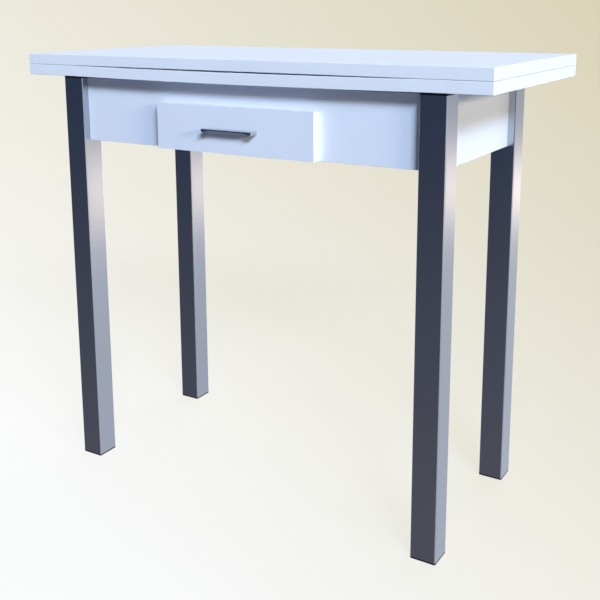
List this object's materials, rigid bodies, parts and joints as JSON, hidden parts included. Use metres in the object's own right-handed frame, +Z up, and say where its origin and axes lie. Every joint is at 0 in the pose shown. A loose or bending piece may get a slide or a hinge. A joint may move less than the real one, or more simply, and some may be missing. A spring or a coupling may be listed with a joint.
{
  "type": "folding kitchen table",
  "caption": "Narrow kitchen table on square steel legs: the two-leaf book top turns a quarter turn on a pivot and unfolds to twice its width; one drawer in front.",
  "frame": {"origin": "on the floor, at the middle of the box that the closed table fills, handle and hinge knuckles included", "axes": "+X along the long side, to the right seen from the drawer; +Y from the drawer to the hinged back edge; +Z up from the floor"},
  "size_m": [0.9, 0.4282, 0.786],
  "materials": {
    "white_melamine": "satin white melamine facing on chipboard",
    "edge_band": "satin white plastic edge band",
    "leg_chrome": "satin chrome plating on steel tube",
    "black_plastic": "matt black moulded plastic",
    "zinc_steel": "bright zinc-plated steel",
    "handle_chrome": "polished chrome",
    "nylon": "natural white nylon",
    "raw_board": "sanded beech, clear sealed",
    "hardboard": "thin hardboard, white faced"
  },
  "bodies": {
    "frame": {"leg_front_left": "leg_chrome", "leg_front_right": "leg_chrome", "leg_back_left": "leg_chrome", "leg_back_right": "leg_chrome", "foot_cap_front_left": "black_plastic", "foot_cap_front_right": "black_plastic", "foot_cap_back_left": "black_plastic", "foot_cap_back_right": "black_plastic", "top_cap_front_left": "black_plastic", "top_cap_front_right": "black_plastic", "top_cap_back_left": "black_plastic", "top_cap_back_right": "black_plastic", "corner_bracket_front_left": "zinc_steel", "corner_bracket_front_right": "zinc_steel", "corner_bracket_back_left": "zinc_steel", "corner_bracket_back_right": "zinc_steel", "front_rail": "white_melamine", "back_rail": "white_melamine", "left_rail": "white_melamine", "right_rail": "white_melamine", "nut_blocks": "zinc_steel", "bracket_bolts": "zinc_steel", "bracket_screws": "zinc_steel", "pivot_board": "raw_board", "pivot_bush": "nylon", "stop_pin": "zinc_steel", "runner_board_left": "raw_board", "runner_board_right": "raw_board", "runner_left": "nylon", "runner_right": "nylon", "runner_screws": "zinc_steel", "angle_brackets": "zinc_steel", "angle_screws": "zinc_steel"},
    "lower_leaf": {"lower_leaf": "white_melamine", "lower_leaf_band": "edge_band", "pivot_plate": "zinc_steel", "pivot_plate_screws": "zinc_steel", "pivot_washer": "zinc_steel", "pivot_nut": "zinc_steel", "hinge_lower_halves": "zinc_steel", "hinge_pins": "zinc_steel", "hinge_lower_screws": "zinc_steel"},
    "upper_leaf": {"upper_leaf": "white_melamine", "upper_leaf_band": "edge_band", "hinge_upper_halves": "zinc_steel", "hinge_upper_screws": "zinc_steel"},
    "drawer": {"drawer_front": "white_melamine", "drawer_side_left": "white_melamine", "drawer_side_right": "white_melamine", "drawer_back": "white_melamine", "drawer_bottom": "hardboard", "drawer_dowels": "raw_board", "handle": "handle_chrome", "handle_screws": "zinc_steel"}
  },
  "joints": [
    {"name": "top_turn", "type": "hinge", "parent": "frame", "child": "lower_leaf", "pos_m": [0.11407, 0.09785, 0.7476], "axis": [0, 0, 1], "range_deg": [0, 90]},
    {"name": "leaf_fold", "type": "hinge", "parent": "lower_leaf", "child": "upper_leaf", "pos_m": [0, 0.21193, 0.7668], "axis": [-1, 0, 0], "range_deg": [0, 180]},
    {"name": "drawer_slide", "type": "slide", "parent": "frame", "child": "drawer", "axis": [0, -1, 0], "range_m": [0, 0.22]}
  ]
}
